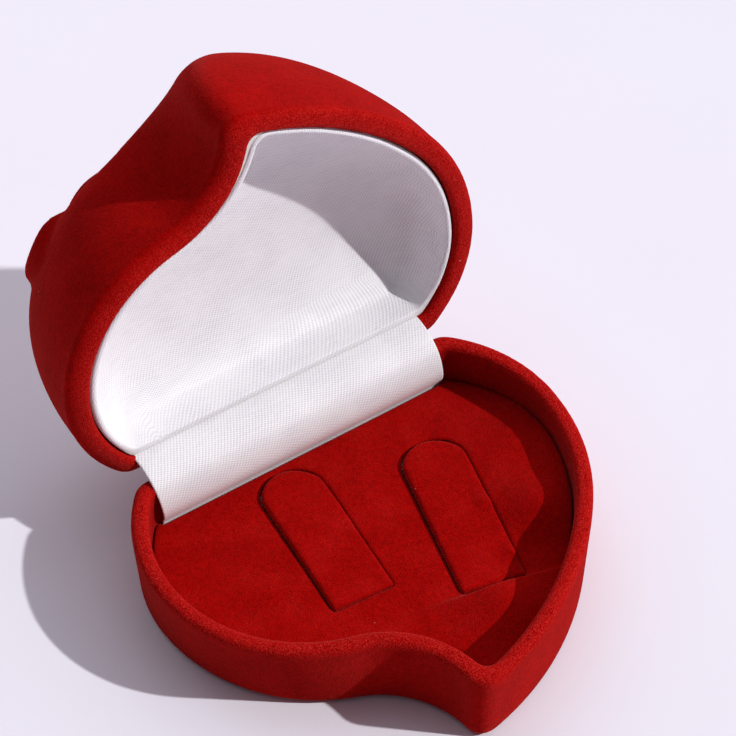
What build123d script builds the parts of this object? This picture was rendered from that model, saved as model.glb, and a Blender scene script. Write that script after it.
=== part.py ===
"""Heart-shaped ring box: flocked tray and domed lid on a pinned hinge, satin lining and two ring tongues.

Millimetres, +Z up. The origin is on the table under the middle of the tray. The hinge side is
straight and lies at +Y, the swept tip of the heart points to -Y, and the box stands open.
"""
import math
import os
from dataclasses import dataclass, fields, replace

from build123d import *

# Heart outline at the rim: depths are from the hinge side towards the tip
BACK = 27.5                     # origin to the straight hinge side
HALF_WIDTH = 33.0               # middle to the widest point of the left lobe
RIGHT_OUT = 0.6                 # the right lobe is wider by this
LOBE_DEPTH = 17.2               # widest line
BACK_IN = 7.2                   # corner of the hinge side, in from the widest point
WAIST_IN = 17.8                 # the left side turns hollow here, in from the widest point
WAIST_DEPTH = 40.8
FLANK_IN = 7.2                  # the right side flattens here, in from the widest point
FLANK_DEPTH = 37.6
TIP_IN = 9.2                    # sharp tip, in from where the left side turns hollow
TIP_DEPTH = 56.0
TIP_ROUND = 3.3
CORNER_ROUND = 3.5
INNER_ROUND = 1.6               # least rounding of a corner inside

# Tray
RIM = 13.5                      # parting plane above the table
WALL = 2.6
FLOOR = 3.0
BASE_DRAFT = 0.7                # how far the walls draw in towards the table
FOOT_LEFT_IN = 0.5              # the left lobe draws in by this much more
FOOT_LOBE_BACK = 2.2            # widest line at the table, nearer to the hinge than at the rim
BASE_ROUND = 1.5
RIM_ROUND = 0.8

# Lid: the walls are a quarter of an oval up to a smaller, rounder outline at the top
LID_RISE = 20.4
RIM_GAP = 0.2                   # between the rims when the lid is shut
LID_WALL = 1.4
LID_TOP_WALL = 1.3
LID_LIP = 1.9                   # the wall is thicker by this at its rim
LIP_HEIGHT = 1.5                # upright part of the wall
LID_BULGE = 2.1                 # exponent of the oval
LID_STEPS = 6                   # sections round the oval
OPEN_ANGLE = 93.0

# Top of the lid: how far the points of its outline lie from those of the rim
TOP_LEFT_IN = 6.6
TOP_RIGHT_IN = 8.6
TOP_LOBE_ON = 1.0               # widest line nearer to the tip
TOP_BACK_IN = 4.0
TOP_CORNER_IN = 3.8
TOP_WAIST_OUT = 1.1
TOP_WAIST_BACK = 3.5
TOP_FLANK_IN = 4.3
TOP_FLANK_BACK = 5.4
TOP_TIP_ASIDE = 9.2             # the sweep of the tip dies out towards the top
TOP_TIP_BACK = 6.4
TOP_TIP_ROUND = 7.0
TOP_CORNER_ROUND = 6.0

# Raised rose on the lid: a ring of flat petals that follow the dome, and on it rings of crowned petals,
# each tilted so that one side lies over its neighbour
ROSE_ASIDE = 14.6               # middle of the rose to the left of the middle
ROSE_DEPTH = 23.2
OUTER_PETALS = 5
OUTER_REACH = 7.4
OUTER_RADIUS = 6.8
OUTER_PROUD = 1.2               # relief over the dome
OUTER_ROOT = 4.0                # depth of the petals' roots in the lid
OUTER_TURN = 205.0
PETAL_ROUND = 0.5
PETAL_TILT = 10.0
INNER_PETALS = 4
INNER_REACH = 4.0
INNER_RADIUS = 4.9
INNER_CROWN = 1.1               # swell of a petal over its edge
INNER_HEIGHT = 1.2              # edge of a petal over the lid's top
INNER_TURN = 241.0
BUD_PETALS = 3
BUD_REACH = 1.6
BUD_RADIUS = 2.9
BUD_CROWN = 1.0
BUD_HEIGHT = 1.9
BUD_TURN = 20.0

# Lining of the lid
LINING_GAP = 0.2
CARD = 0.5
SATIN = 0.5
LINING_RECESS = 1.2             # edge of the lining inside the rim
LINING_DEPTH = 12.0             # rim to the deepest place of the satin

# Insert in the tray
INSERT_DEPTH = 7.0              # from the rim down to the flocked face
BOARD = 1.2
BOARD_GAP = 0.2
TONGUE_WIDTH = 8.8
TONGUE_PROUD = 0.3              # tongues stand a little above the board
TONGUE_CUT = 0.5                # width of the cut around a tongue
FOLD_GAP = 0.1
LEFT_FOLD = 7.2                 # middle of the left fold to the left of the middle
LEFT_DEPTH = 30.0
LEFT_LENGTH = 25.2
LEFT_SLANT = 4.5
RIGHT_FOLD = 9.2
RIGHT_DEPTH = 38.0
RIGHT_LENGTH = 27.0
RIGHT_SLANT = 13.0

# Hinge
HINGE_SIDE = 5.8                # each end short of the corner of the hinge side
HINGE_OUT = 0.2                 # axis behind the hinge side
HINGE_DROP = 1.3                # axis below the parting plane
PIN_RADIUS = 0.5
PIN_CLEARANCE = 0.05
KNUCKLE_RADIUS = 1.05
KNUCKLES = 5
KNUCKLE_GAP = 0.2
LEAF = 0.5
LEAF_HEIGHT = 6.0
HINGE_CLEARANCE = 0.4
SPRING = 0.25
SPRING_WIDTH = 4.0
SPRING_GAP = 0.06
SPRING_REACH = 0.9              # top of the spring over the axis

# Satin strip over the hinge
STRIP = 0.4
STRIP_SIDE = 0.2                # each end short of the straight part of the tray's back
STRIP_GAP = 0.05
STRIP_BEND = 1.0

os.makedirs("parts", exist_ok=True)


@dataclass
class Outline:
    """Key values of one heart outline, all from the middle of the hinge side."""

    left: float
    right: float
    widest: float
    back: float
    back_half: float
    waist_x: float
    waist_y: float
    flank_x: float
    flank_y: float
    tip_x: float
    tip_y: float
    tip_round: float
    corner_round: float


RIM_OUTLINE = Outline(
    left=HALF_WIDTH,
    right=HALF_WIDTH + RIGHT_OUT,
    widest=-LOBE_DEPTH,
    back=0.0,
    back_half=HALF_WIDTH - BACK_IN,
    waist_x=WAIST_IN - HALF_WIDTH,
    waist_y=-WAIST_DEPTH,
    flank_x=HALF_WIDTH + RIGHT_OUT - FLANK_IN,
    flank_y=-FLANK_DEPTH,
    tip_x=WAIST_IN - HALF_WIDTH + TIP_IN,
    tip_y=-TIP_DEPTH,
    tip_round=TIP_ROUND,
    corner_round=CORNER_ROUND,
)
FOOT_OUTLINE = replace(
    RIM_OUTLINE,
    left=RIM_OUTLINE.left - FOOT_LEFT_IN,
    widest=RIM_OUTLINE.widest + FOOT_LOBE_BACK,
)
TOP_OUTLINE = Outline(
    left=RIM_OUTLINE.left - TOP_LEFT_IN,
    right=RIM_OUTLINE.right - TOP_RIGHT_IN,
    widest=RIM_OUTLINE.widest - TOP_LOBE_ON,
    back=-TOP_BACK_IN,
    back_half=RIM_OUTLINE.back_half - TOP_CORNER_IN,
    waist_x=RIM_OUTLINE.waist_x - TOP_WAIST_OUT,
    waist_y=RIM_OUTLINE.waist_y + TOP_WAIST_BACK,
    flank_x=RIM_OUTLINE.flank_x - TOP_FLANK_IN,
    flank_y=RIM_OUTLINE.flank_y + TOP_FLANK_BACK,
    tip_x=RIM_OUTLINE.tip_x + TOP_TIP_ASIDE,
    tip_y=RIM_OUTLINE.tip_y + TOP_TIP_BACK,
    tip_round=TOP_TIP_ROUND,
    corner_round=TOP_CORNER_ROUND,
)


def between(first, second, share):
    """Outline at a share of the way from one outline to another."""
    start = [getattr(first, field.name) for field in fields(Outline)]
    end = [getattr(second, field.name) for field in fields(Outline)]
    return Outline(*[a + (b - a) * share for a, b in zip(start, end)])


def heading_after(start, end, heading):
    """Direction in degrees in which an arc that leaves start along heading arrives at end."""
    chord = math.degrees(math.atan2(end.Y - start.Y, end.X - start.X))
    return 2 * chord - heading


def direction(heading):
    """Unit vector along a heading in degrees."""
    return Vector(math.cos(math.radians(heading)), math.sin(math.radians(heading)))


def moved_in(point, first, second, inset):
    """Point moved inside two edges whose inward directions are first and second."""
    return point + (first + second) * (inset / (1 + first.dot(second)))


def heart(outline, height, inset=0.0):
    """Face of the heart at a height, drawn in from the outline by an even inset."""
    o = outline
    left, right = Vector(-o.left, o.widest), Vector(o.right, o.widest)
    corner_left, corner_right = Vector(-o.back_half, o.back), Vector(o.back_half, o.back)
    waist, flank, tip = Vector(o.waist_x, o.waist_y), Vector(o.flank_x, o.flank_y), Vector(o.tip_x, o.tip_y)
    up, down, quarter = 90, -90, 90

    at_waist = heading_after(left, waist, down)
    at_flank = heading_after(right, flank, down)
    tip_left = heading_after(waist, tip, at_waist)
    tip_right = heading_after(flank, tip, at_flank)
    lobe_left = heading_after(left, corner_left, up)
    lobe_right = heading_after(right, corner_right, up)

    waist_in = direction(at_waist + quarter)
    flank_in = direction(at_flank - quarter)
    front = Vector(0, -1)
    tip = moved_in(tip, direction(tip_left + quarter), direction(tip_right - quarter), inset)
    corner_left = moved_in(corner_left, direction(lobe_left - quarter), front, inset)
    corner_right = moved_in(corner_right, direction(lobe_right + quarter), front, inset)
    waist, flank = waist + waist_in * inset, flank + flank_in * inset
    left, right = left + Vector(inset, 0), right - Vector(inset, 0)

    with BuildSketch(Plane((0, BACK, height))) as section:
        with BuildLine():
            Line(corner_right, corner_left)
            TangentArc(left, corner_left, tangent=direction(up))
            TangentArc(left, waist, tangent=direction(down))
            TangentArc(waist, tip, tangent=direction(at_waist))
            TangentArc(flank, tip, tangent=direction(at_flank))
            TangentArc(right, flank, tangent=direction(down))
            TangentArc(right, corner_right, tangent=direction(up))
        make_face()
        fillet(section.vertices().sort_by(Axis.Y)[0], radius=max(o.tip_round - inset, INNER_ROUND))
        fillet(section.vertices().sort_by(Axis.Y)[-2:], radius=max(o.corner_round - inset, INNER_ROUND))
    return section.sketch


def bowl(bottom, rise, inset, lip):
    """The lid's form from a bottom up to a rise over the rim, drawn in by an inset, and more at its lip."""
    brim = heart(RIM_OUTLINE, RIM + LIP_HEIGHT, inset + lip)
    sections = [brim]
    for step in range(1, LID_STEPS + 1):
        angle = math.pi / 2 * step / LID_STEPS
        level = math.sin(angle) ** (2 / LID_BULGE)
        share = 1 - abs(math.cos(angle)) ** (2 / LID_BULGE)
        height = RIM + LIP_HEIGHT + (rise - LIP_HEIGHT) * level
        sections.append(heart(between(RIM_OUTLINE, TOP_OUTLINE, share), height, inset))
    with BuildPart() as form:
        extrude(brim, amount=bottom - LIP_HEIGHT)
        loft(sections=sections)
    return form.part


HINGE_LENGTH = 2 * (RIM_OUTLINE.back_half - HINGE_SIDE)
HINGE_Y = BACK + HINGE_OUT
HINGE_Z = RIM - HINGE_DROP
HINGE_AXIS = Axis((0, HINGE_Y, HINGE_Z), (1, 0, 0))
LEAF_FRONT = HINGE_Y - KNUCKLE_RADIUS
KNUCKLE_PITCH = HINGE_LENGTH / KNUCKLES
INSERT_TOP = RIM - INSERT_DEPTH
INSERT_BOTTOM = INSERT_TOP - BOARD


def knuckles(first):
    """Every second knuckle along the hinge, from a first place."""
    places = range(first, KNUCKLES, 2)
    return [((place + 0.5) * KNUCKLE_PITCH - HINGE_LENGTH / 2, HINGE_Y, HINGE_Z) for place in places]


def opened(part):
    """A piece of the closed lid, turned to the open pose."""
    return part.rotate(HINGE_AXIS, -OPEN_ANGLE)


def save(part, name):
    """Labels a piece and writes it."""
    part.label = name
    export_step(part, f"parts/{name}.step")


# Tray: drafted wall, rounded foot and rim, with a channel for the knuckles and a slot for the leaf
with BuildPart() as base_shell:
    loft(sections=[heart(FOOT_OUTLINE, 0, BASE_DRAFT), heart(RIM_OUTLINE, RIM)], ruled=True)
    fillet(base_shell.edges().group_by(Axis.Z)[0], radius=BASE_ROUND)
    extrude(heart(RIM_OUTLINE, FLOOR, WALL), amount=RIM - FLOOR, mode=Mode.SUBTRACT)
    fillet(base_shell.edges().group_by(Axis.Z)[-1], radius=RIM_ROUND)
    channel = KNUCKLE_RADIUS + HINGE_CLEARANCE
    with Locations((0, HINGE_Y, HINGE_Z)):
        Box(HINGE_LENGTH + 2 * HINGE_CLEARANCE, 2 * channel, 2 * channel + HINGE_DROP, mode=Mode.SUBTRACT)
    with Locations((0, LEAF_FRONT + LEAF / 2, HINGE_Z)):
        Box(HINGE_LENGTH, LEAF, 2 * LEAF_HEIGHT, mode=Mode.SUBTRACT)
    with Locations(*[(x, LEAF_FRONT, HINGE_Z) for x, _, _ in knuckles(1)]):
        Box(SPRING_WIDTH, 2 * (SPRING_GAP + SPRING), 2 * LEAF_HEIGHT, mode=Mode.SUBTRACT)
save(base_shell.part, "base_shell")


def petal(radius, crown, height):
    """Round petal with a crowned top, over the lid's top at z 0, with its root in the lid's wall."""
    ball = (radius ** 2 + crown ** 2) / (2 * crown)
    with BuildPart() as one:
        with BuildSketch(Plane.XZ) as half:
            with BuildLine():
                top, edge = (0, height + crown), (radius, height)
                RadiusArc(edge, top, -ball)
                Polyline(top, (0, -LID_TOP_WALL), (radius, -LID_TOP_WALL), edge)
            make_face()
            fillet(half.vertices().group_by(Axis.X)[-1].sort_by(Axis.Y)[-1], radius=PETAL_ROUND)
        revolve(axis=Axis.Z)
    return one.part


ROSE_PLACE = (-ROSE_ASIDE, BACK - ROSE_DEPTH, RIM + LID_RISE)
ROSE = [
    (petal(INNER_RADIUS, INNER_CROWN, INNER_HEIGHT), INNER_REACH, INNER_PETALS, INNER_TURN),
    (petal(BUD_RADIUS, BUD_CROWN, BUD_HEIGHT), BUD_REACH, BUD_PETALS, BUD_TURN),
]

# Forms that the lid and its lining are made of, each one inside the last
lid_form = bowl(RIM_GAP, LID_RISE, 0, 0)
lid_hollow = bowl(RIM_GAP, LID_RISE - LID_TOP_WALL, LID_WALL, LID_LIP)
card_in = LID_WALL + LID_LIP + LINING_GAP
satin_in = card_in + CARD
card_form = bowl(LINING_RECESS, LINING_DEPTH + SATIN + CARD, card_in, 0)
satin_form = bowl(LINING_RECESS, LINING_DEPTH + SATIN, satin_in, 0)
lining_hollow = bowl(LINING_RECESS, LINING_DEPTH, satin_in + SATIN, 0)

# Outer petals of the rose, which follow the dome and have their roots in the lid's wall
with BuildPart() as outer_petals:
    with Locations(ROSE_PLACE):
        with PolarLocations(OUTER_REACH, OUTER_PETALS, OUTER_TURN):
            Cylinder(OUTER_RADIUS, 2 * OUTER_ROOT)
    add(bowl(RIM_GAP, LID_RISE + OUTER_PROUD, -OUTER_PROUD, 0), mode=Mode.INTERSECT)

# Lid: domed shell with the rose in relief, modelled closed
with BuildPart() as lid_shell:
    add(lid_form)
    add(outer_petals.part)
    with Locations(ROSE_PLACE):
        for one_petal, reach, count, turn in ROSE:
            with PolarLocations(reach, count, turn):
                with Locations(Location((0, 0, 0), (-PETAL_TILT, 0, 0))):
                    add(one_petal)
    add(lid_hollow, mode=Mode.SUBTRACT)
    fillet(lid_shell.edges().group_by(Axis.Z)[0], radius=RIM_ROUND)
    with Locations((0, LEAF_FRONT + LEAF / 2, RIM)):
        Box(HINGE_LENGTH, LEAF, 2 * (LEAF_HEIGHT - HINGE_DROP), mode=Mode.SUBTRACT)
save(opened(lid_shell.part), "lid_shell")

# Lining of the lid: a pressed card bowl and the satin skin inside it
with BuildPart() as lid_liner:
    add(card_form)
    add(satin_form, mode=Mode.SUBTRACT)
save(opened(lid_liner.part), "lid_liner")

with BuildPart() as lid_satin:
    add(satin_form)
    add(lining_hollow, mode=Mode.SUBTRACT)
save(opened(lid_satin.part), "lid_satin")


def tongue_plane(fold, depth, slant, height):
    """Plane with its origin at the middle of a tongue's fold and +Y along the tongue."""
    return Plane((fold, BACK - depth, height), x_dir=direction(-slant), z_dir=(0, 0, 1))


def tongue_face(plane, length, margin, start):
    """Tongue with a round free end, larger by a margin, from a start before or at the fold."""
    width = TONGUE_WIDTH + 2 * margin
    straight = length - TONGUE_WIDTH / 2
    with BuildSketch(plane) as face:
        with Locations((0, (straight + start) / 2)):
            Rectangle(width, straight - start)
        with Locations((0, straight)):
            Circle(width / 2)
    return face.sketch


TONGUES = {
    "ring_tongue_left": (-LEFT_FOLD, LEFT_DEPTH, LEFT_LENGTH, LEFT_SLANT),
    "ring_tongue_right": (RIGHT_FOLD, RIGHT_DEPTH, RIGHT_LENGTH, RIGHT_SLANT),
}

# The satin strip covers the straight part of the tray's back wall, inside
STRIP_WIDTH = heart(RIM_OUTLINE, RIM, WALL).edges().sort_by(Axis.Y)[-1].length - 2 * STRIP_SIDE

# Insert: flocked board with a U-shaped cut around each tongue, on a sponge pad
with BuildPart() as insert_board:
    add(extrude(heart(RIM_OUTLINE, INSERT_BOTTOM, WALL + BOARD_GAP), amount=BOARD, mode=Mode.PRIVATE))
    for fold, depth, length, slant in TONGUES.values():
        cut = tongue_face(tongue_plane(fold, depth, slant, INSERT_BOTTOM), length, TONGUE_CUT, -FOLD_GAP)
        extrude(cut, amount=BOARD, mode=Mode.SUBTRACT)
    with Locations((0, BACK - WALL, INSERT_TOP)):
        Box(STRIP_WIDTH + 2 * BOARD_GAP, 2 * (STRIP + 2 * BOARD_GAP), 2 * BOARD, mode=Mode.SUBTRACT)
save(insert_board.part, "insert_board")

with BuildPart() as insert_foam:
    extrude(heart(RIM_OUTLINE, FLOOR, WALL + BOARD_GAP), amount=INSERT_BOTTOM - FLOOR)
save(insert_foam.part, "insert_foam")

for name, (fold, depth, length, slant) in TONGUES.items():
    with BuildPart() as tongue:
        plane = tongue_plane(fold, depth, slant, INSERT_BOTTOM + FOLD_GAP)
        extrude(tongue_face(plane, length, 0, 0), amount=BOARD - FOLD_GAP + TONGUE_PROUD)
        fillet(tongue.edges().group_by(Axis.Z)[-1], radius=TONGUE_PROUD)
    save(tongue.part, name)


def leaf(own, other, side):
    """Leaf to one side of the axis, with its own knuckles and room for the other leaf's."""
    with BuildPart() as one:
        with Locations((0, LEAF_FRONT + LEAF / 2, HINGE_Z + side * LEAF_HEIGHT / 2)):
            Box(HINGE_LENGTH, LEAF, LEAF_HEIGHT)
        with Locations(*other):
            Box(KNUCKLE_PITCH + KNUCKLE_GAP, 4 * KNUCKLE_RADIUS, 2 * (KNUCKLE_RADIUS + KNUCKLE_GAP),
                mode=Mode.SUBTRACT)
        with Locations(*own):
            Cylinder(KNUCKLE_RADIUS, KNUCKLE_PITCH - KNUCKLE_GAP, rotation=(0, 90, 0))
        with Locations((0, HINGE_Y, HINGE_Z)):
            Cylinder(PIN_RADIUS + PIN_CLEARANCE, HINGE_LENGTH, rotation=(0, 90, 0), mode=Mode.SUBTRACT)
    return one.part


# Hinge: two leaves with alternating knuckles on one pin, of which the tray's leaf has the outer ones
save(leaf(knuckles(0), knuckles(1), -1), "hinge_base_leaf")
save(opened(leaf(knuckles(1), knuckles(0), 1)), "hinge_lid_leaf")

with BuildPart() as hinge_pin:
    with Locations((0, HINGE_Y, HINGE_Z)):
        Cylinder(PIN_RADIUS, HINGE_LENGTH, rotation=(0, 90, 0))
save(hinge_pin.part, "hinge_pin")

with BuildPart() as hinge_springs:
    spring_height = LEAF_HEIGHT + SPRING_REACH
    with Locations(*[(x, LEAF_FRONT - SPRING_GAP - SPRING / 2, HINGE_Z + SPRING_REACH - spring_height / 2)
                     for x, _, _ in knuckles(1)]):
        Box(SPRING_WIDTH, SPRING, spring_height)
save(hinge_springs.part, "hinge_springs")


def with_lid(y, z):
    """Point of the closed lid, from the hinge side's rim edge, where it is when the lid is open."""
    turn = math.radians(OPEN_ANGLE)
    along, over = y - HINGE_OUT, z + HINGE_DROP
    return (BACK + HINGE_OUT + along * math.cos(turn) + over * math.sin(turn),
            RIM - HINGE_DROP - along * math.sin(turn) + over * math.cos(turn))


# Satin strip: up the tray's back wall, over the rim and across to the edge of the lid's lining
with BuildPart() as satin_strip:
    with BuildSketch(Plane.YZ):
        with BuildLine():
            on_tray = WALL + STRIP_GAP + STRIP / 2
            on_lid = -(LID_WALL + LID_LIP + STRIP_GAP + STRIP / 2)
            FilletPolyline((BACK - on_tray, INSERT_BOTTOM + STRIP_GAP), (BACK - on_tray, RIM + STRIP / 2),
                           with_lid(on_lid, -STRIP / 2), with_lid(on_lid, LINING_RECESS - STRIP_GAP),
                           radius=STRIP_BEND)
        trace(line_width=STRIP)
    extrude(amount=STRIP_WIDTH / 2, both=True)
save(satin_strip.part, "satin_strip")
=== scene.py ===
"""Heart-shaped ring box, open on a pale table: flocked tray and lid, satin lining, ring tongues."""
import math

import bmesh
import bpy
from mathutils import Euler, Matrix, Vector
from mathutils.kdtree import KDTree


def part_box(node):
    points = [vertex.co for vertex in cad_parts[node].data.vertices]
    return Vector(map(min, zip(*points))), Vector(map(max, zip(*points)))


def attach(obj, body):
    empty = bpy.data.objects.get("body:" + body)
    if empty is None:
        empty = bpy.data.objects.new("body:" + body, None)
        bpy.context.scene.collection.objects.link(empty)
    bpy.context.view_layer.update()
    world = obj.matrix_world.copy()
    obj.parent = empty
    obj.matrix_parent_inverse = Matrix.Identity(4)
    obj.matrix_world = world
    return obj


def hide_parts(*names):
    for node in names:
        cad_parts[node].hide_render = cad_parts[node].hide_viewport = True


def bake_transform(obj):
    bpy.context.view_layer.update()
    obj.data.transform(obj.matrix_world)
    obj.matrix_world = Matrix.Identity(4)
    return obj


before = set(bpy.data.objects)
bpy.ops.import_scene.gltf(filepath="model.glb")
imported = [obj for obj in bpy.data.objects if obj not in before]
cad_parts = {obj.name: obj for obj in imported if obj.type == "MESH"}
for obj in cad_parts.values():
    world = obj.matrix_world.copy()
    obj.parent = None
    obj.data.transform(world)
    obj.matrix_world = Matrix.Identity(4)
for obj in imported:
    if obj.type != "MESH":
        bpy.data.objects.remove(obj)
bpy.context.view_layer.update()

# Table and light: a pale, smooth table top under one small lamp at the right in front of the box,
# which throws its shadow to the left and back. A wide pale window behind the box gives a soft fill.
bpy.ops.object.select_all(action="DESELECT")
bpy.ops.mesh.primitive_plane_add(size=6.0)
table = bpy.context.object
table.name = "table"

scene = bpy.context.scene
scene.view_settings.view_transform = "Standard"

TABLE_COLOURS = (0.875, 0.855, 0.945, 1), (0.895, 0.875, 0.96, 1)
TOWARDS_LAMP = Vector((0.593, -0.523, 0.611))
TOWARDS_WINDOW = (0.50, 0.68, 0.53)
ROOM_COLOURS = (0.085, 0.08, 0.092, 1), (1.08, 1.05, 1.13, 1)      # away from the window and in it
BACKDROP = (0.90, 0.885, 0.94, 1)

lamp = bpy.data.lights.new("lamp", "SUN")
lamp.energy = 2.7
lamp.angle = math.radians(1.3)
lamp.color = (1.0, 0.99, 0.985)
lamp_place = bpy.data.objects.new("lamp", lamp)
lamp_place.rotation_euler = TOWARDS_LAMP.to_track_quat("Z", "Y").to_euler()
scene.collection.objects.link(lamp_place)


class Wire:
    """Socket of a node. Arithmetic on wires adds Math nodes, and node() adds any other kind."""

    def __init__(self, tree, socket=None):
        self.tree, self.socket = tree, socket

    def node(self, kind, settings=(), sockets=(), out=0):
        made = self.tree.nodes.new("ShaderNode" + kind)
        for name, value in dict(settings).items():
            setattr(made, name, value)
        for name, value in dict(sockets).items():
            if isinstance(value, Wire):
                self.tree.links.new(value.socket, made.inputs[name])
            else:
                made.inputs[name].default_value = value
        return Wire(self.tree, made.outputs[out] if made.outputs else None)

    def math(self, operation, *values):
        return self.node("Math", {"operation": operation}, dict(enumerate(values)))

    def __add__(self, other):
        return self.math("ADD", self, other)

    def __sub__(self, other):
        return self.math("SUBTRACT", self, other)

    def __rsub__(self, other):
        return self.math("SUBTRACT", other, self)

    def __mul__(self, other):
        return self.math("MULTIPLY", self, other)

    __radd__, __rmul__ = __add__, __mul__

    def between(self, low, high):
        """0 at low and below, 1 at high and above, smooth in between."""
        return self.node("MapRange", {"interpolation_type": "SMOOTHSTEP"}, {0: self, 1: low, 2: high})

    def mix(self, dark, light):
        """Colour from dark at 0 to light at 1."""
        return self.node("Mix", {"data_type": "RGBA"}, {0: self, 6: dark, 7: light}, out=2)


def finish(name):
    """Empty material, and a wire in it to begin from."""
    material = bpy.data.materials.new(name)
    material.use_nodes = True
    material.node_tree.nodes.clear()
    return material, Wire(material.node_tree)


def sand(wire, place, size, detail=2.0, roughness=0.5):
    """Noise whose grains are about as wide as a size in metres."""
    return wire.node("TexNoise", {}, {
        "Vector": place, "Scale": 1 / size, "Detail": detail, "Roughness": roughness})


table_top, wire = finish("table_top")
place = wire.node("TexCoord", out="Object")
cloud = sand(wire, place, 0.09)
surface = wire.node("BsdfPrincipled", {}, {
    "Base Color": cloud.mix(*TABLE_COLOURS),
    "Roughness": 0.55 + 0.1 * cloud,
    "Specular IOR Level": 0.1,
})
wire.node("OutputMaterial", {}, {"Surface": surface})
table.data.materials.append(table_top)

room = bpy.data.worlds.new("room")
room.use_nodes = True
room.node_tree.nodes.clear()
scene.world = room
wire = Wire(room.node_tree)
facing = wire.node("VectorMath", {"operation": "DOT_PRODUCT"},
                   {0: wire.node("TexCoord", out="Generated"), 1: TOWARDS_WINDOW}, out="Value")
light = facing.between(0.1, 1.0).mix(*ROOM_COLOURS)
rays = [wire.node("LightPath", out=f"Is {kind} Ray") for kind in ("Camera", "Glossy", "Transmission")]
seen = wire.math("MINIMUM", rays[0] + rays[1] + rays[2], 1.0)
around = seen.mix(light, BACKDROP)
wire.node("OutputWorld", {}, {"Surface": wire.node("Background", {}, {"Color": around})})

# Camera: a long lens that looks down at about 49 degrees over the tray's left side, into the open
# lid, and is turned a very little about its own axis.
LOOK = Vector((0.3589, 0.5522, -0.7525)).normalized()
AIM = Vector((0.01322, 0.02751, 0.0135))
DISTANCE = 0.3796
ROLL = math.radians(-0.37)
camera = bpy.data.cameras.new("camera")
camera.lens = 127.17
camera.sensor_width = 36.0
camera.clip_start, camera.clip_end = 0.01, 20.0
camera_place = bpy.data.objects.new("camera", camera)
camera_place.location = AIM - LOOK * DISTANCE
roll = Euler((0, 0, ROLL)).to_quaternion()
camera_place.rotation_euler = (LOOK.to_track_quat("-Z", "Y") @ roll).to_euler()
scene.collection.objects.link(camera_place)
scene.camera = camera_place

# Tray: moulded plastic under a short red flock pile, which is sprayed on and stands upright,
# so it looks dark when seen straight on and pale along the edges. Its rim has a painted highlight.
RED_DEEP = (0.235, 0.0011, 0.0009, 1)
RED_FULL = (0.43, 0.0036, 0.0028, 1)
RED_TIPS_AND_HIGHLIGHT = (0.58, 0.024, 0.020, 1)
LINT = (0.72, 0.33, 0.31, 1)
SHEEN = (1.0, 0.22, 0.20, 1)
PILE, TIPS, TUFTS, NAP = 0.00020, 0.00017, 0.0008, 0.0065      # grain sizes of the flock
RIM_HIGHLIGHT = 0.75                   # share of pale fibre ends painted on a rim as a highlight
TRAY_HIGHLIGHT_HEIGHTS = (0.0118, 0.0134)  # heights between which the painted highlight sets in
SHELL_VOXEL, SHELL_ROUNDS = 0.0004, 14
LEAF_BACK, LEAF_HIGH = (0.0260, 0.0275), (0.0058, 0.0101)      # where the flock closes over the hinge's leaf
LEAF_ROOM = 0.0001              # past each end of the leaf


def flock(name, nap_and_highlight):
    """Red flock; nap_and_highlight gives, from the place, the share of pale fibre ends: brushed nap on the
    insert, a painted highlight on the rims.
    """
    material, wire = finish(name)
    place = wire.node("TexCoord", out="Object")
    pile = sand(wire, place, PILE, 1.0)
    tufts = sand(wire, place, TUFTS, 2.0)
    nap = sand(wire, place, NAP, 3.0)
    depth = pile.between(0.3, 0.7) * 0.5 + tufts.between(0.3, 0.7) * 0.25 + nap.between(0.3, 0.7) * 0.25
    # Pale fibre ends: brushed nap on the insert, and on the rims a painted highlight.
    pale_tips_and_highlight = nap_and_highlight(wire, place) * sand(wire, place, TIPS, 1.0).between(0.48, 0.62)
    lint_cell = wire.node("TexVoronoi", {}, {"Vector": place, "Scale": 420.0})
    lint = (1 - lint_cell.between(0.03, 0.075)) * sand(wire, place, 0.004).between(0.64, 0.72)
    colour = lint.mix(pale_tips_and_highlight.mix(depth.mix(RED_DEEP, RED_FULL), RED_TIPS_AND_HIGHLIGHT), LINT)
    bump = wire.node("Bump", {}, {"Strength": 0.5, "Distance": 0.00025, "Height": pile + 0.6 * tufts})
    surface = wire.node("BsdfPrincipled", {}, {
        "Base Color": colour,
        "Roughness": 0.95,
        "Specular IOR Level": 0.0,
        "Sheen Weight": 0.22,
        "Sheen Roughness": 0.4,
        "Sheen Tint": SHEEN,
        "Normal": bump,
    })
    wire.node("OutputMaterial", {}, {"Surface": surface})
    return material


def tray_rim_highlight(wire, place):
    """Share of painted highlight on the tray: its rim."""
    return wire.node("SeparateXYZ", {}, {0: place}, out="Z").between(*TRAY_HIGHLIGHT_HEIGHTS) * RIM_HIGHLIGHT


def merged(node):
    """Mesh of a carried-over piece with its triangles joined."""
    mesh = bmesh.new()
    mesh.from_mesh(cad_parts[node].data)
    bmesh.ops.remove_doubles(mesh, verts=mesh.verts, dist=1e-6)
    return mesh


def softened(node, name, voxel, rounds, block=()):
    """Copy of a piece, remeshed evenly, with its edges rounded off. A block closes a slot in it."""
    shape = merged(node)
    if block:
        bmesh.ops.convex_hull(shape, input=[shape.verts.new(corner) for corner in block])
    piece = bpy.data.objects.new(name, bpy.data.meshes.new(name))
    shape.to_mesh(piece.data)
    shape.free()
    scene.collection.objects.link(piece)
    bpy.ops.object.select_all(action="DESELECT")
    piece.select_set(True)
    bpy.context.view_layer.objects.active = piece
    piece.data.remesh_voxel_size = voxel
    bpy.ops.object.voxel_remesh()
    rounding = piece.modifiers.new("rounding", "SMOOTH")
    rounding.factor, rounding.iterations = 0.5, rounds
    bpy.ops.object.modifier_apply(modifier=rounding.name)
    bpy.ops.object.shade_smooth()
    piece.data.materials.clear()
    return piece


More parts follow.
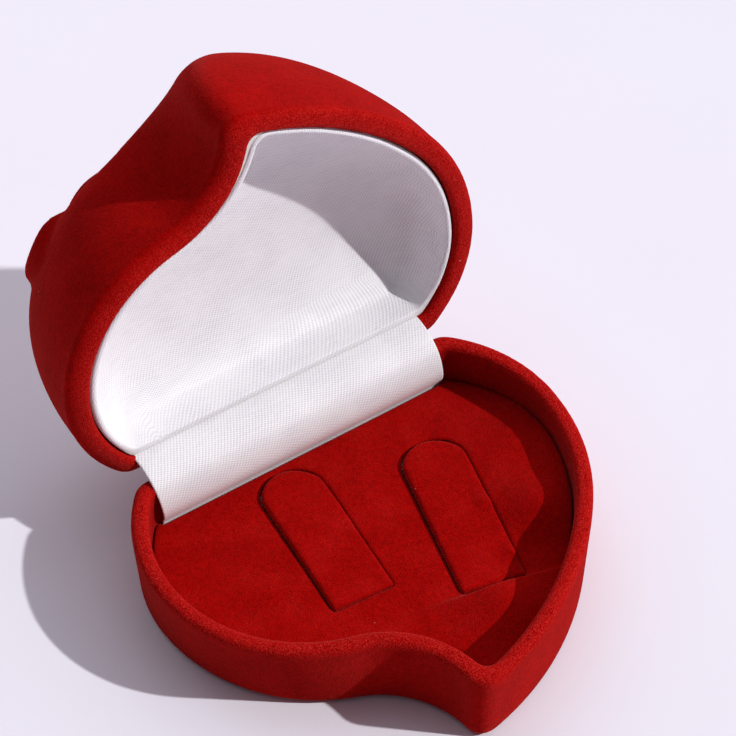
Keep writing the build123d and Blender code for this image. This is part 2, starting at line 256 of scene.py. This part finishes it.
leaf_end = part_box("hinge_base_leaf")[1][0] + LEAF_ROOM
leaf_cover = [(x, y, z) for x in (-leaf_end, leaf_end) for y in LEAF_BACK for z in LEAF_HIGH]
tray = softened("base_shell", "tray_flocked", SHELL_VOXEL, SHELL_ROUNDS, leaf_cover)
tray.data.materials.append(flock("tray_flock", tray_rim_highlight))
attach(tray, "tray")
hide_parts("base_shell")

# Sponge pad: a cut slab of open-cell sponge that lies on the tray's floor under the insert's card.
# It gives when a ring is pushed on a tongue. It shows only through the cuts.
sponge, wire = finish("sponge")
place = wire.node("TexCoord", out="Object")
pores = wire.node("TexVoronoi", {}, {"Vector": place, "Scale": 1500.0}).between(0.1, 0.55)
surface = wire.node("BsdfPrincipled", {}, {
    "Base Color": pores.mix((0.05, 0.048, 0.05, 1), (0.34, 0.33, 0.33, 1)),
    "Roughness": 0.95,
    "Normal": wire.node("Bump", {}, {"Strength": 0.7, "Distance": 0.0003, "Height": pores}),
})
wire.node("OutputMaterial", {}, {"Surface": surface})

pad = softened("insert_foam", "sponge_pad", 0.0006, 3)
pad.data.materials.append(sponge)
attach(pad, "tray")
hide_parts("insert_foam")

# Insert's card and ring tongues: one flocked card, in which two tongues are cut and left on at a fold.
# The flock rounds every cut edge. Handling has swollen the card at the right and lifted the tongues'
# ends and their left edges, so that the cuts show as grooves on the left only.
SWELLS = (                      # place on the card, radius, height
    (0.0290, 0.0060, 0.0110, 0.00240),
    (0.0225, -0.0045, 0.0055, 0.00240),
    (0.0020, 0.0130, 0.0060, 0.00045),
    (0.0158, 0.0018, 0.0013, 0.00050),
    (0.0141, -0.0075, 0.0013, 0.00045),
    (-0.0160, 0.0060, 0.0080, 0.00025),
)
STEP = (0.0085, -0.0160, 0.0075, 0.00240)       # the card stands up in front of the right fold
STEP_RUN = 0.0012               # how far the step takes to rise
TONGUE_LIFT = 0.00025           # of the middle
TONGUE_ROLL = 0.00045           # of the edges, up at the left and down at the right
TONGUE_HALF = 0.0044
TONGUE_ROOT = 0.6               # share of the lift and the roll at the fold
CARD_VOXEL, CARD_ROUNDS = 0.0003, 9
CUT_CLOSED = (0.00040, 0.00050)                 # how much of the cut the flock fills, left and right
FOLDS = {"left": (Vector((-0.0072, -0.0025)), 4.5), "right": (Vector((0.0092, -0.0105)), 13.0)}


def swollen(point):
    """Rise of the card at a point."""
    rise = 0.0
    for x, y, radius, height in SWELLS:
        away = (point.xy - Vector((x, y))).length / radius
        rise += height * math.exp(-away * away)
    return rise


def brushed_patches(wire, place):
    """Rubbed share on the insert: faint, in brushed patches."""
    return sand(wire, place, 0.006, 2.0).between(0.45, 0.75) * 0.25


insert_flock = flock("insert_flock", brushed_patches)
insert_card = softened("insert_board", "insert_card", CARD_VOXEL, CARD_ROUNDS)
fold, slant = FOLDS["right"]
ahead = Vector((-math.sin(math.radians(slant)), -math.cos(math.radians(slant))))
for point in insert_card.data.vertices:
    past = min(max((point.co.xy - fold).dot(ahead) / STEP_RUN, 0.0), 1.0)
    away = (point.co.xy - Vector(STEP[:2])).length / STEP[2]
    point.co.z += swollen(point.co) + STEP[3] * past * past * (3 - 2 * past) * math.exp(-away * away)
insert_card.data.materials.append(insert_flock)
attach(insert_card, "tray")
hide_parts("insert_board")

for side, (fold, slant) in FOLDS.items():
    tongue = softened(f"ring_tongue_{side}", f"tongue_{side}_flocked", CARD_VOXEL, CARD_ROUNDS)
    across = Vector((math.cos(math.radians(slant)), -math.sin(math.radians(slant))))
    low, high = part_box(f"ring_tongue_{side}")
    for point in tongue.data.vertices:
        share = (point.co.y - low[1]) / (high[1] - low[1])
        out = (point.co.xy - fold).dot(across) / TONGUE_HALF
        top = min(max((point.co.z - low[2]) / (high[2] - low[2]), 0.0), 1.0)
        risen = TONGUE_ROOT + (1 - TONGUE_ROOT) * share
        point.co.z += swollen(point.co) + top * risen * (TONGUE_LIFT - TONGUE_ROLL * out)
        point.co.xy += across * out * abs(out) * CUT_CLOSED[out > 0]
    tongue.data.materials.append(insert_flock)
    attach(tongue, f"tongue_{side}")
    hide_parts(f"ring_tongue_{side}")

# Hinge: two leaves of plated sheet steel with rolled knuckles on one pin, and two flat springs that
# bear on the lid's knuckles. The leaves are pushed into slots in the tray and the lid.
hinge_steel, wire = finish("hinge_steel")
place = wire.node("TexCoord", out="Object")
along = wire.node("Mapping", {}, {"Vector": place, "Scale": (60.0, 2500.0, 2500.0)})
brushed = wire.node("TexNoise", {}, {"Vector": along, "Scale": 1.0, "Detail": 3.0})
surface = wire.node("BsdfPrincipled", {}, {
    "Base Color": brushed.mix((0.50, 0.49, 0.46, 1), (0.68, 0.67, 0.63, 1)),
    "Metallic": 1.0,
    "Roughness": 0.28 + 0.2 * brushed,
})
wire.node("OutputMaterial", {}, {"Surface": surface})


def dress(node, material):
    """Gives a carried-over piece its finish."""
    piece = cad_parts[node]
    piece.data.materials.clear()
    piece.data.materials.append(material)


for node in ("hinge_base_leaf", "hinge_lid_leaf", "hinge_pin", "hinge_springs"):
    dress(node, hinge_steel)

# Lid: moulded plastic, flocked like the tray, with a low rose on top and a painted highlight on its rim. It
# turns on the hinge. Its own directions are across, along to the tip, and over the rim's plane.
LID_UP = Vector((0, 0.99863, -0.05234))
LID_TIP = Vector((0, 0.05234, 0.99863))
LID_RIM = Vector((0, 0.029009, 0.012332))
RIM_WIDTH, RIM_RISE, RIM_FALL = 0.0033, 0.0035, 0.0013      # the left rim falls off to the outside
RIM_LEFT, RIM_LEFT_RUN = 0.008, 0.016           # where the fall sets in, and its run to the left
LID_HIGHLIGHT_HEIGHTS = (0.0001, 0.0018)   # heights over the rim's plane between which the painted highlight dies out
LEAF_ALONG, LEAF_OVER = (0.0001, 0.0014), (0.0005, 0.0050)     # where the flock closes over the hinge's leaf
WALL_STEPS = 8                  # points on each stretch of the wall's outline


def lid_rim_highlight(wire, place):
    """Share of painted highlight on the lid: its rim, by the height over the rim's plane."""
    over = wire.node("VectorMath", {"operation": "DOT_PRODUCT"}, {0: place, 1: LID_UP}, out="Value")
    return (1 - (over - LID_RIM.dot(LID_UP)).between(*LID_HIGHLIGHT_HEIGHTS)) * RIM_HIGHLIGHT


def lid_point(across, along, over):
    """Place of a point given in the lid's own directions."""
    return LID_RIM + Vector((across, 0, 0)) + LID_TIP * along + LID_UP * over


def cut_loops(mesh, over):
    """Outlines, in the lid's own directions, of a mesh at a height over the lid's rim."""
    cut = mesh.copy()
    made = bmesh.ops.bisect_plane(
        cut, geom=cut.verts[:] + cut.edges[:] + cut.faces[:], dist=1e-7,
        plane_co=lid_point(0, 0, over), plane_no=LID_UP)["geom_cut"]
    edges = dict.fromkeys(edge for edge in made if isinstance(edge, bmesh.types.BMEdge))
    loops = []
    while edges:
        chain = list(edges.popitem()[0].verts)
        while onward := next((edge for edge in chain[-1].link_edges if edge in edges), None):
            del edges[onward]
            chain.append(onward.other_vert(chain[-1]))
        loops.append([Vector((point.co.x, (point.co - LID_RIM).dot(LID_TIP))) for point in chain[:-1]])
    cut.free()
    return loops


leaf_cover = [lid_point(across, along, over) for across in (-leaf_end, leaf_end)
              for along in LEAF_ALONG for over in LEAF_OVER]
lid = softened("lid_shell", "lid_flocked", SHELL_VOXEL, SHELL_ROUNDS, leaf_cover)
walls = cut_loops(merged("lid_shell"), RIM_RISE)
wall = max(walls, key=lambda loop: max(p.x for p in loop) - min(p.x for p in loop))
outside = KDTree(WALL_STEPS * len(wall))
for first, second in zip(wall, wall[1:] + wall[:1]):
    for step in range(WALL_STEPS):
        outside.insert(first.lerp(second, step / WALL_STEPS).to_3d(), step)
outside.balance()
for point in lid.data.vertices:
    over = (point.co - LID_RIM).dot(LID_UP)
    if over < RIM_RISE:
        place = Vector((point.co.x, (point.co - LID_RIM).dot(LID_TIP), 0))
        share = max(1 - outside.find(place)[2] / RIM_WIDTH, 0.0)
        left = min(max((RIM_LEFT - place.x) / RIM_LEFT_RUN, 0.0), 1.0)
        point.co += LID_UP * RIM_FALL * left * share * share * (1 - over / RIM_RISE)
lid.data.materials.append(flock("lid_flock", lid_rim_highlight))
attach(lid, "lid")
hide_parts("lid_shell")

# Card bowl of the lining: white card, pressed to a shallow bowl and glued into the lid.
# The satin covers it, so it shows only from behind.
card, wire = finish("liner_card")
place = wire.node("TexCoord", out="Object")
pulp = sand(wire, place, 0.0008, 3.0)
surface = wire.node("BsdfPrincipled", {}, {
    "Base Color": pulp.mix((0.66, 0.64, 0.61, 1), (0.80, 0.785, 0.76, 1)),
    "Roughness": 0.9,
    "Normal": wire.node("Bump", {}, {"Strength": 0.3, "Distance": 0.0002, "Height": pulp}),
})
wire.node("OutputMaterial", {}, {"Surface": surface})
dress("lid_liner", card)

# Satin of the lining: white satin, stretched over the card bowl and turned over its edge all round.
# The cloth lies a little loose at the right, where its wall shows soft creases.
AROUND = 240                    # points round the lining
SCRAP = 20                      # a cut with no more points than this is a scrap of the edge
HINGE_PART = 0.02               # along the lid, how far the hinge side can reach
WALL_RINGS = 16
WALL_TURN, WALL_POWER = math.radians(86.5), 0.95       # how the wall's rings are spaced
LINING_EDGE, WALL_TOP, LINING_FLOOR = 0.00125, 0.0016, 0.0120      # depths from the lid's rim
TURNED = (                      # section of the turned edge, out and over, in millimetres
    (0.98, 1.30), (0.92, 1.05), (0.74, 0.88), (0.50, 0.82), (0.26, 0.88), (0.08, 1.04))
HEMMED = (0.0045, 0.0085)       # the turned edge dies out between these, towards the hinge
HEM_LEFT = 0.2                  # share of the turned edge's height that is left there
DRAWN, DRAWN_UP = 0.0075, 0.52  # how far from its edge the cloth is drawn up, and by which share
SLACK = 1.04                    # the cloth's depth away from its edge, as a share of the floor's
DISH_ROUND = 0.0006             # rounding between the wall and the dish
CREASE_PLACE, CREASE_REACH, CREASE_FROM = 0.0215, 0.006, 0.015
CREASE_DEPTH, CREASE_PITCH = 0.00030, 0.0009
FLOOR_SHARES = (0.97, 0.9, 0.78, 0.64, 0.5, 0.36, 0.22, 0.1)
SATIN_THICKNESS = 0.00025
WEAVE = (0.00052, 0.00048)      # periods of the weave, across and along
SATIN_COLOURS = (0.66, 0.635, 0.695, 1), (0.92, 0.91, 0.935, 1)
bowl = merged("lid_satin")


def lining_loop(over):
    """Inside of the satin at a height over the lid's rim: from the tip round by the left, evenly spaced."""
    loops = cut_loops(bowl, over)
    whole = [loop for loop in loops if len(loop) > SCRAP]
    inner = min(whole, key=lambda loop: max(p.x for p in loop) - min(p.x for p in loop))
    tip = max(range(len(inner)), key=lambda k: inner[k].y)
    inner = inner[tip:] + inner[:tip + 1]
    if inner[len(inner) // 4].x > inner[3 * len(inner) // 4].x:
        inner.reverse()
    steps = [0.0]
    for first, second in zip(inner, inner[1:]):
        steps.append(steps[-1] + (second - first).length)
    middle = next(k for k in range(1, len(inner))
                  if inner[k - 1].x < 0 <= inner[k].x and inner[k].y < HINGE_PART)
    before, after = inner[middle - 1].x, inner[middle].x
    turn = steps[middle - 1] + (steps[middle] - steps[middle - 1]) * before / (before - after)
    half = AROUND // 2
    wanted = [turn * k / half for k in range(half)]
    wanted += [turn + (steps[-1] - turn) * k / half for k in range(half)]
    loop, k = [], 1
    for distance in wanted:
        while steps[k] < distance and k < len(steps) - 1:
            k += 1
        share = (distance - steps[k - 1]) / max(steps[k] - steps[k - 1], 1e-9)
        loop.append(inner[k - 1].lerp(inner[k], share))
    return loop


def outward(loop):
    """Directions out of a loop at each of its points."""
    ways = []
    for k in range(len(loop)):
        run = (loop[(k + 1) % len(loop)] - loop[k - 1]).normalized()
        ways.append(Vector((run.y, -run.x)))
    return ways


def dished(point, over):
    """Depth of the cloth at a point of the bowl: drawn up towards the edge and slack in the middle."""
    away = min((point - edge).length for edge in edge_loop)
    slack = LINING_FLOOR * SLACK * (1 - DRAWN_UP * math.exp(-away / DRAWN))
    return -DISH_ROUND * math.log(math.exp(-over / DISH_ROUND) + math.exp(-slack / DISH_ROUND))


def creased(loop, share):
    """A loop of the wall with the soft creases of its right side, strongest half way down."""
    moved = []
    for point, way in zip(loop, outward(loop)):
        away = (point.y - CREASE_PLACE) / CREASE_REACH
        loose = math.exp(-away ** 2) if point.x > CREASE_FROM else 0.0
        depth = CREASE_DEPTH * loose * math.sin(point.y / CREASE_PITCH) * math.sin(math.pi * share)
        moved.append(point - way * depth)
    return moved


rings = []
edge_loop = lining_loop(LINING_EDGE)
ways = outward(edge_loop)
for out, over in TURNED:
    ring = []
    for point, way in zip(edge_loop, ways):
        share = min(max((point.y - HEMMED[0]) / (HEMMED[1] - HEMMED[0]), 0.0), 1.0)
        lift = (over * 0.001 - LINING_EDGE) * (HEM_LEFT + (1 - HEM_LEFT) * share)
        ring.append((point + way * out * 0.001, LINING_EDGE + lift))
    rings.append(ring)
rings.append([(point, LINING_EDGE) for point in edge_loop])
for step in range(1, WALL_RINGS + 1):
    level = math.sin(WALL_TURN * step / WALL_RINGS) ** WALL_POWER
    over = WALL_TOP + (LINING_FLOOR - WALL_TOP) * level
    loop = creased(lining_loop(over), step / WALL_RINGS)
    rings.append([(point, dished(point, over)) for point in loop])
floor_loop = [point for point, over in rings[-1]]
centre = sum(floor_loop, Vector((0, 0))) / AROUND
for share in FLOOR_SHARES:
    ring = [centre.lerp(point, share) for point in floor_loop]
    rings.append([(point, dished(point, LINING_FLOOR)) for point in ring])

flat = [None] * len(rings)      # the cloth's flat pattern: the wall folded out round the floor
floor_ring = len(TURNED) + WALL_RINGS
for ring in range(floor_ring, len(rings)):
    flat[ring] = [point for point, over in rings[ring]]
floor_ways = outward(floor_loop)
for ring in range(floor_ring - 1, -1, -1):
    flat[ring] = []
    for k in range(AROUND):
        (point, over), (inside, inside_over) = rings[ring][k], rings[ring + 1][k]
        length = math.hypot((point - inside).length, over - inside_over)
        flat[ring].append(flat[ring + 1][k] + floor_ways[k] * length)

points = [lid_point(point.x, point.y, over) for ring in rings for point, over in ring]
points.append(lid_point(centre.x, centre.y, dished(centre, LINING_FLOOR)))
spread = [place for ring in flat for place in ring] + [centre]
faces = []
for ring in range(len(rings) - 1):
    for k in range(AROUND):
        a, b = ring * AROUND + k, ring * AROUND + (k + 1) % AROUND
        faces.append((a, b, b + AROUND, a + AROUND))
last = (len(rings) - 1) * AROUND
faces += [(last + k, last + (k + 1) % AROUND, len(points) - 1) for k in range(AROUND)]


def cloth(name, points, faces, spread, thickness):
    """Sheet of cloth from its points and their places in the flat cut, given its thickness to the back."""
    mesh = bpy.data.meshes.new(name)
    mesh.from_pydata(points, [], faces)
    pattern = mesh.uv_layers.new(name="cut")
    for corner in mesh.loops:
        pattern.data[corner.index].uv = spread[corner.vertex_index]
    piece = bpy.data.objects.new(name, mesh)
    scene.collection.objects.link(piece)
    bpy.ops.object.select_all(action="DESELECT")
    piece.select_set(True)
    bpy.context.view_layer.objects.active = piece
    smooth = piece.modifiers.new("smooth", "SUBSURF")
    smooth.levels = smooth.render_levels = 1
    bpy.ops.object.modifier_apply(modifier=smooth.name)
    body = piece.modifiers.new("body", "SOLIDIFY")
    body.thickness, body.offset = thickness, -1.0
    bpy.ops.object.modifier_apply(modifier=body.name)
    bpy.ops.object.shade_smooth()
    return piece


satin, wire = finish("satin")
cut = wire.node("TexCoord", out="UV")
across = wire.node("SeparateXYZ", {}, {0: cut}, out="X") * (2 * math.pi / WEAVE[0])
along = wire.node("SeparateXYZ", {}, {0: cut}, out="Y") * (2 * math.pi / WEAVE[1])
slanted = across + 0.5 * along
weave = slanted.math("SINE", slanted) * along.math("SINE", along) * 0.5 + 0.5
drawn = wire.node("Mapping", {}, {"Vector": cut, "Scale": (300.0, 2600.0, 1.0)})
slub = wire.node("TexNoise", {}, {"Vector": drawn, "Scale": 1.0, "Detail": 2.0})
patches = sand(wire, cut, 0.007, 2.0).between(0.35, 0.65)
shine = weave * 0.62 + slub * 0.28 + patches * 0.10
surface = wire.node("BsdfPrincipled", {}, {
    "Base Color": shine.between(0.15, 0.62).mix(*SATIN_COLOURS),
    "Roughness": 0.60 - 0.22 * shine,
    "Specular IOR Level": 0.5,
    "Sheen Weight": 0.15,
    "Sheen Roughness": 0.3,
    "Normal": wire.node("Bump", {}, {"Strength": 0.5, "Distance": 0.00012, "Height": shine}),
})
wire.node("OutputMaterial", {}, {"Surface": surface})

lining = cloth("lining_satin", points, faces, spread, SATIN_THICKNESS)
lining.data.materials.append(satin)
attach(lining, "lid")
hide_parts("lid_satin")
rim_cut = flat[0]
cut_area = 0.5 * abs(sum(p.x * q.y - q.x * p.y for p, q in zip(rim_cut, rim_cut[1:] + rim_cut[:1])))

# Satin strip: hides the hinge. Its lower edge is tucked behind the insert and its upper edge under the
# lining, and between them it bows over the tray's rim.
STRIP_SIDE = (                  # side view of the strip, back and up, in millimetres
    (24.50, 5.45), (24.40, 6.5), (23.75, 7.9), (23.55, 9.3), (23.80, 10.8), (24.35, 12.2), (25.20, 13.45),
    (26.40, 14.45), (27.80, 15.15), (29.00, 15.50), (29.90, 15.62), (30.65, 15.66))
STRIP_ENDS = ((-0.0237, 0.0240), (-0.0246, 0.0237))     # left and right end, below and above
STRIP_WIDTH, STRIP_THICKNESS = 0.0482, 0.0002
ACROSS, ROWS = 96, 44           # stretches of the mesh

side = [Vector(point) * 0.001 for point in STRIP_SIDE]
curve = []
for row in range(ROWS + 1):
    reach = row / ROWS * (len(side) - 1)
    k = min(int(reach), len(side) - 2)
    t = reach - k
    a, b, c, d = side[max(k - 1, 0)], side[k], side[k + 1], side[min(k + 2, len(side) - 1)]
    bend, twist = 2 * a - 5 * b + 4 * c - d, 3 * b - a - 3 * c + d
    curve.append(0.5 * (2 * b + (c - a) * t + bend * t * t + twist * t ** 3))
lengths = [0.0]
for first, second in zip(curve, curve[1:]):
    lengths.append(lengths[-1] + (second - first).length)
points, spread = [], []
for row, (place, length) in enumerate(zip(curve, lengths)):
    share = row / ROWS
    left, right = (below + (above - below) * share for below, above in zip(*STRIP_ENDS))
    for column in range(ACROSS + 1):
        x = left + (right - left) * column / ACROSS
        points.append(Vector((x, place.x, place.y)))
        spread.append(Vector((x, length)))
faces = []
for row in range(ROWS):
    for column in range(ACROSS):
        a = row * (ACROSS + 1) + column
        faces.append((a, a + 1, a + ACROSS + 2, a + ACROSS + 1))
strip = cloth("hinge_strip", points, faces, spread, STRIP_THICKNESS)
strip.data.materials.append(satin)
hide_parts("satin_strip")
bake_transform(strip)
